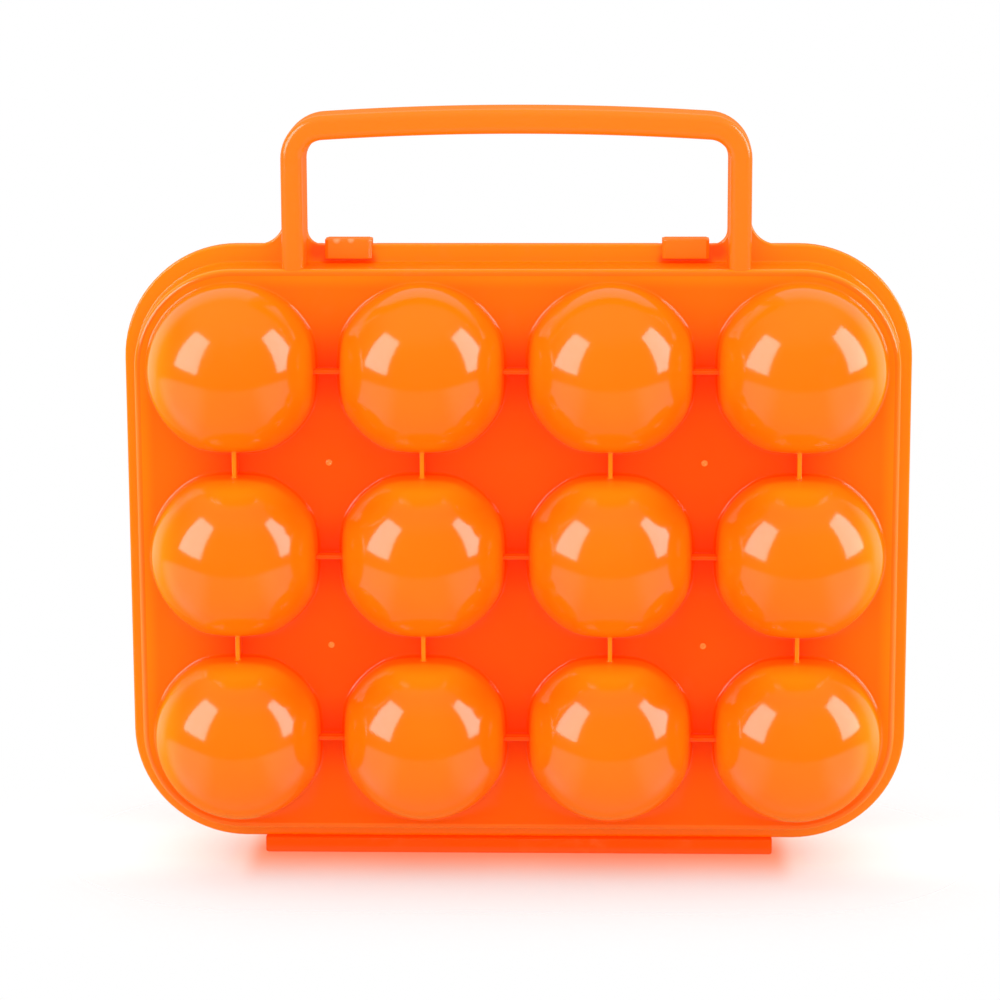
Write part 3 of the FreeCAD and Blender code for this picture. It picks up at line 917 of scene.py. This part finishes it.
class EGGBOX_OT_handle(bpy.types.Operator):
    """Carry handle: crowned loop with rounded front edges, cored behind between cross webs"""

    bl_idname = "egg_box.handle"
    bl_label = "Handle"

    def execute(self, context):
        settings = context.scene.egg_box
        look = settings.plastic
        material = plastic("handle_plastic", look, look.bar, look.bar, look.body, rough=0.08,
                           flow=(0.25, 1.0, 1.0))
        surfaces = [handle_surface(settings.handle, settings.rim), *handle_webs(settings.handle)]
        add_piece("handle_loop", surfaces, BODIES[BASE], ["carry_handle"], material)
        return {"FINISHED"}


def latch_surface(sizes, low, high):
    """Latch: a hooked section carried along X. It goes round the pivot bead, over the plate, round the nose
    and down the lip, and back by way of the snap bead. At its two ends the front is cut back by the bevel."""
    front, rear_axis = -low[1], -(high[1] - sizes.pivot)
    pivot_z = FLANGE_TOP + sizes.pivot_lift
    bottom, top = low[2] + sizes.rise, high[2]
    lip_back, under = front - sizes.lip, top - sizes.plate
    bend = quarter()
    small = 0.25 * MM
    round_bead = np.linspace(-math.pi / 2, math.radians(75), 12)
    under_bead = np.linspace(math.asin((under - pivot_z) / sizes.pivot), -math.pi / 2, 6)[:-1]
    bead_low = bottom + sizes.bead_lift
    depth = np.concatenate([
        rear_axis - sizes.pivot * np.cos(round_bead),
        rear_axis + small * (1 - np.cos(bend)),
        front + sizes.nose * (np.sin(bend) - 1),
        front + small * (np.cos(bend) - 1),
        lip_back + small * (1 - np.sin(bend)),
        lip_back - sizes.bead_reach * np.array([0.0, 1.0, 1.0, 0.0]),
        np.full(len(bend), lip_back),
        rear_axis + sizes.pivot * np.cos(under_bead),
    ])
    height = np.concatenate([
        pivot_z + sizes.pivot * np.sin(round_bead),
        top + small * (np.sin(bend) - 1),
        top + sizes.nose * (np.cos(bend) - 1),
        bottom + small * (1 - np.sin(bend)),
        bottom + small * (1 - np.cos(bend)),
        bead_low + sizes.bead_height * np.array([0.0, 0.25, 0.75, 1.0]),
        under - small * (1 - np.sin(bend)),
        pivot_z + sizes.pivot * np.sin(under_bead),
    ])
    x = np.array([low[0], low[0] + sizes.bevel, high[0] - sizes.bevel, high[0]])[:, None]
    cut = np.array([sizes.bevel, 0.0, 0.0, sizes.bevel])[:, None]
    depth = np.minimum(depth[None, :], front - cut)
    height = np.minimum(height[None, :], top - 0.3 * cut)
    return swept(stacked(x, -depth, height))


class EGGBOX_OT_latches(bpy.types.Operator):
    """Two snap latches that hang on the lid and hook over the base flange"""

    bl_idname = "egg_box.latches"
    bl_label = "Latches"

    def execute(self, context):
        settings = context.scene.egg_box
        look = settings.plastic
        low, high = corners("latch_left")
        nicks = [((low[0] + along, low[1] + 0.3 * MM, high[2] - 0.2 * MM), radius, look.stressed)
                 for along, radius in ((3.0 * MM, 0.9 * MM), (6.6 * MM, 0.8 * MM))]
        for word, spots in (("left", nicks), ("right", ())):
            node = f"latch_{word}"
            material = plastic(f"{word}_latch_plastic", look, look.bar, look.bar, look.body, wear=0.6,
                               rough=0.06, spots=spots)
            surface = latch_surface(settings.latch, *corners(node))
            add_piece(f"snap_latch_{word}", [surface], node, [node], material)
        return {"FINISHED"}


def leaf_surface(sizes, half):
    """Leaf of the film hinge: a block's section carried along X, cleared by an arc about the fold axis. Near
    its ends the foot rises by the corner radius less the root of its square less the squared distance in."""
    inner, outer, top = LEAF_LOW[1], LEAF_HIGH[1], LEAF_HIGH[2]
    bend = quarter()
    start, end = math.asin(sizes.drop / sizes.relief), math.acos(inner / sizes.relief)
    relief = np.linspace(end, start, 7)
    depth = np.concatenate([[inner], sizes.relief * np.cos(relief), outer + sizes.edge * (np.sin(bend) - 1),
                            outer + sizes.edge * (np.cos(bend) - 1)])
    height = np.concatenate([[top], sizes.relief * np.sin(relief) - sizes.drop,
                             sizes.edge * (1 - np.cos(bend)), top + sizes.edge * (np.sin(bend) - 1)])
    into = sizes.corner * (1 - np.cos(quarter(7)))
    x = np.concatenate([LEAF_LOW[0] + into, LEAF_HIGH[0] - into[::-1]])[:, None]
    from_end = np.minimum(x - LEAF_LOW[0], LEAF_HIGH[0] - x)
    rise = sizes.corner - np.sqrt(sizes.corner ** 2 - np.maximum(sizes.corner - from_end, 0.0) ** 2)
    return swept(stacked(x, half * depth[None, :], np.maximum(height[None, :], rise)))


def film_surface(sizes):
    """Film between the leaves: a U of even thickness carried along X, two straight legs and a half round."""
    radius = FILM_HIGH[1]
    centre, top = FILM_LOW[2] + radius, FILM_HIGH[2]
    bend = np.linspace(-math.pi / 2, math.pi / 2, 15)
    legs = np.linspace(top, centre, 4)[:-1]

    def line(r):
        y = np.concatenate([np.full(3, -r), r * np.sin(bend), np.full(3, r)])
        z = np.concatenate([legs, centre - r * np.cos(bend), legs[::-1]])
        return y, z

    outer, inner = line(radius), line(radius - sizes.film)
    y = np.append(outer[0], inner[0][::-1])
    z = np.append(outer[1], inner[1][::-1])
    x = np.linspace(FILM_LOW[0], FILM_HIGH[0], 3)[:, None]
    return swept(stacked(x, y[None, :], z[None, :]))


class EGGBOX_OT_hinge(bpy.types.Operator):
    """Film hinge at the foot: two leaves and the thin film folded between them"""

    bl_idname = "egg_box.hinge"
    bl_label = "Hinge"

    def execute(self, context):
        settings = context.scene.egg_box
        look = settings.plastic
        # Painted shade and glow: the leaves take the strip's shaded orange and glow more, in place of light
        # through the plastic
        material = plastic("leaf_plastic", look, look.strip, look.strip, look.body, wear=1.0, through=2.5,
                           flow=(0.2, 1.0, 1.0))
        for half, word in HALVES.items():
            surface = leaf_surface(settings.hinge, half)
            add_piece(f"leaf_{word}", [surface], BODIES[half], [f"{word}_hinge_leaf"], material)
        fold = ((0.0, 0.0, 0.0), 2 * MM, look.stressed)
        # The film takes the strip's painted shade too
        material = plastic("film_plastic", look, look.strip, look.strip, look.body, wear=1.0, spots=[fold])
        film = add_piece("film_fold", [film_surface(settings.hinge)], None, ["hinge_film"], material)
        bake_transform(film)
        return {"FINISHED"}


def gate_mark(radius, height):
    """Trimmed gate stub about the Y axis: a low disc with a quarter-round rim and a sunk middle, closed below
    inside the plastic that carries it."""
    turn = np.linspace(0, 2 * math.pi, 24, endpoint=False)[None, :]
    bend = quarter()
    out = np.concatenate([[0.0], radius * np.array([0.35, 0.55]), radius - height * (1 - np.sin(bend)),
                          [radius, 0.0]])[:, None]
    up = np.concatenate([height * np.array([0.3, 0.45, 0.9]), height * np.cos(bend),
                         [-3 * height] * 2])[:, None]
    return stacked(out * np.cos(turn), up, out * np.sin(turn))


class EGGBOX_OT_marks(bpy.types.Operator):
    """Gate marks of the mouldings: four on each panel, where four cups meet, and one on the grip"""

    bl_idname = "egg_box.marks"
    bl_label = "Gate marks"

    def execute(self, context):
        settings = context.scene.egg_box
        look = settings.plastic
        material = plastic("gate_mark_plastic", look, look.pale, look.pale, look.pale, wear=1.0)
        height = 0.3 * MM
        mark = gate_mark(0.85 * MM, height)
        on_panel = mark + np.array([0.0, PANEL, 0.0])
        on_grip = mark + np.array([0.0, -HANDLE_LOW[1] - height, 0.0])
        spots = [(x, BOX_CENTRE + z) for x in (-PITCH, PITCH) for z in (-PITCH / 2, PITCH / 2)]
        for half, word in HALVES.items():
            surfaces = [revolved(placed(on_panel, spot, half)) for spot in spots]
            if half == BASE:
                middle = (0.0, HANDLE_TOP - settings.handle.grip / 2)
                surfaces.append(revolved(placed(on_grip, middle, half)))
            add_piece(f"gate_marks_{word}", surfaces, BODIES[half], [], material)
        return {"FINISHED"}


def soft_box(name, place, size, roll, power, lit=None):
    """Rectangular lamp at a place, turned about its upright to face the box, rolled on its own axis and seen
    in the box's gloss alone. A collection limits it to the pieces in it."""
    lamp = bpy.data.lights.new(name, "AREA")
    lamp.shape = "RECTANGLE"
    lamp.size, lamp.size_y = size
    lamp.energy = power
    box = bpy.data.objects.new(name, lamp)
    bpy.context.collection.objects.link(box)
    towards = Matrix.Rotation(math.atan2(place[0], -place[1]), 4, "Z")
    turn = towards @ Matrix.Rotation(math.pi / 2, 4, "X") @ Matrix.Rotation(math.radians(roll), 4, "Z")
    box.matrix_world = Matrix.Translation(place) @ turn
    box.visible_diffuse = False
    box.light_linking.receiver_collection = lit


def soft_boxes(look, scene):
    """The two soft boxes in front, and the same two turned half round behind, which light the lid alone."""
    lid = bpy.data.collections.new("lid_pieces")
    for piece in scene.objects:
        if piece.type == "MESH" and "lid" in piece.name:
            lid.objects.link(piece)
    powers = {"left": look.left, "right": look.right}
    for word, (place, size, roll) in SOFT_BOXES.items():
        soft_box(f"{word}_box", place, size, roll, powers[word])
    for word, source in (("left", "right"), ("right", "left")):
        (x, y, z), size, roll = SOFT_BOXES[source]
        soft_box(f"rear_{word}_box", (-x, -y, z), size, roll, powers[source], lid)


def studio_world(look):
    """Room: white to the camera and level light on the object. Its gloss shows a white table below a dark
    room, a faint ceiling, and behind the box a warm room with a pale backdrop at grazing angles."""
    world = bpy.data.worlds.new("studio")
    bpy.context.scene.world = world
    world.use_nodes = True
    tree = world.node_tree
    start = Wire(tree)
    seen = start.node("ShaderNodeLightPath", output="Is Camera Ray")
    glossy = start.node("ShaderNodeLightPath", output="Is Glossy Ray")
    clear = start.node("ShaderNodeLightPath", output="Is Transmission Ray")
    way = start.node("ShaderNodeTexCoord", output="Generated")
    across = abs(way.part("X"))
    back = way.part("Y")
    up = way.part("Z")
    below_edge = 1.0 - (up - across * across * 0.2).ramp(-0.38, -0.3)
    table = below_edge * (0.3 + across.ramp(0.4, 0.75) * 0.6)
    ceiling = up.ramp(0.5, 0.9) * 0.2
    room = (table + ceiling).blend(BLACK, look.backdrop)
    room = back.ramp(0.15, 0.5).blend(room, look.warm)
    grazing = back.ramp(0.35, 0.6) * (1.0 - back.ramp(0.86, 0.95)) * up.ramp(-0.4, -0.1)
    room = (grazing * BACKDROP_COVER).blend(room, look.backdrop)
    level = start.node("ShaderNodeVectorMath", {"operation": "SCALE"},
                       {0: look.backdrop, "Scale": look.ambient + up * (look.ambient * look.overhead)})
    colour = seen.larger(clear).blend(glossy.blend(level, room), look.backdrop)
    tree.links.new(colour.socket, tree.nodes["Background"].inputs["Color"])


def paper(look):
    """White paper: matt, and clear from below. Where the camera sees it, it fades out away from the strip;
    close to the strip it is tinted and glows with painted orange light in place of light through the plastic,
    and beyond the strip's ends painted light keeps the box's shade off it."""
    material = bpy.data.materials.new("paper")
    material.use_nodes = True
    tree = material.node_tree
    shader = tree.nodes["Principled BSDF"]
    start = Wire(tree)
    place = start.node("ShaderNodeTexCoord", output="Object")
    seen = start.node("ShaderNodeLightPath", output="Is Camera Ray")
    behind = start.node("ShaderNodeNewGeometry", output="Backfacing")
    beyond = (abs(place.part("X")) - LEAF_HIGH[0]).larger(0.0)
    along = place.part("Y")
    past_glow = (beyond * 2.5).diagonal(along).ramp(0.0, PAPER_GLOW)

    fibre = place.noise(FIBRE_CELLS, 3.0).ramp(0.2, 0.8) * 0.02
    # Painted light: the paper is tinted orange next to the strip
    colour = past_glow.blend(look.glow_tint, look.floor)
    colour = fibre.blend(colour, [c * 0.9 for c in look.floor])
    # Painted glow: orange light next to the strip, plain light further out, and light beyond the strip's ends
    # that keeps the box's shade off the paper
    at_ends = beyond.ramp(0.0, 6 * MM) * (1.0 - abs(along).ramp(10 * MM, 35 * MM))
    glow = at_ends.blend(past_glow.blend(look.through, look.lift), look.ends)
    shown = 1.0 - beyond.diagonal(along).ramp(0.0, PAPER_FADE)
    cover = (1.0 - behind) * (1.0 - seen * (1.0 - shown * shown))

    tree.links.new(colour.socket, shader.inputs["Base Color"])
    tree.links.new(seen.blend(BLACK, glow).socket, shader.inputs["Emission Color"])
    tree.links.new(cover.socket, shader.inputs["Alpha"])
    shader.inputs["Roughness"].default_value = 0.6
    shader.inputs["Emission Strength"].default_value = 1.0
    return material


class EGGBOX_OT_stage(bpy.types.Operator):
    """Paper floor, soft boxes, room light and camera"""

    bl_idname = "egg_box.stage"
    bl_label = "Stage"

    def execute(self, context):
        look = context.scene.egg_box.studio
        mesh = bpy.data.meshes.new("floor")
        edge = np.array([-1, 1, 1, -1]) * FLOOR_REACH
        mesh.from_pydata(stacked(edge, np.roll(edge, 1), 0 * edge), [], [[0, 1, 2, 3]])
        mesh.materials.append(paper(look))
        floor = bpy.data.objects.new("floor", mesh)
        floor.visible_glossy = False
        context.collection.objects.link(floor)
        studio_world(look)
        soft_boxes(look, context.scene)
        lens = bpy.data.cameras.new("camera")
        lens.lens = look.lens
        lens.sensor_width = SENSOR_WIDTH
        camera = bpy.data.objects.new("camera", lens)
        context.collection.objects.link(camera)
        turn = Matrix.Rotation(look.yaw, 4, "Z") @ Matrix.Rotation(math.pi / 2 - look.pitch, 4, "X")
        camera.matrix_world = Matrix.Translation(look.camera) @ turn @ Matrix.Rotation(look.roll, 4, "Z")
        context.scene.camera = camera
        context.scene.view_settings.view_transform = "Standard"
        return {"FINISHED"}


OPERATORS = (EGGBOX_OT_cups, EGGBOX_OT_rims, EGGBOX_OT_handle, EGGBOX_OT_latches, EGGBOX_OT_hinge,
             EGGBOX_OT_marks, EGGBOX_OT_stage)


class EGGBOX_PT_sidebar(bpy.types.Panel):
    """Sizes, colours and steps of the egg box"""

    bl_idname = "EGGBOX_PT_sidebar"
    bl_label = "Egg box"
    bl_space_type = "VIEW_3D"
    bl_region_type = "UI"
    bl_category = "Egg box"

    def draw(self, context):
        settings = context.scene.egg_box
        for step in OPERATORS:
            self.layout.operator(step.bl_idname)
        for group in EggBoxSettings.__annotations__:
            box = self.layout.box()
            box.label(text=group.capitalize())
            values = getattr(settings, group)
            for key in values.__annotations__:
                box.prop(values, key)


CLASSES = (CupSizes, RimSizes, HandleSizes, LatchSizes, HingeSizes, PlasticLook, StudioLook, EggBoxSettings,
           *OPERATORS, EGGBOX_PT_sidebar)


def register():
    for cls in CLASSES:
        bpy.utils.register_class(cls)
    bpy.types.Scene.egg_box = PointerProperty(type=EggBoxSettings)


def unregister():
    del bpy.types.Scene.egg_box
    for cls in reversed(CLASSES):
        bpy.utils.unregister_class(cls)


def main():
    """Builds every piece and the stage."""
    register()
    bpy.ops.egg_box.cups()
    bpy.ops.egg_box.rims()
    bpy.ops.egg_box.handle()
    bpy.ops.egg_box.latches()
    bpy.ops.egg_box.hinge()
    bpy.ops.egg_box.marks()
    bpy.ops.egg_box.stage()


if __name__ == "__main__":
    main()
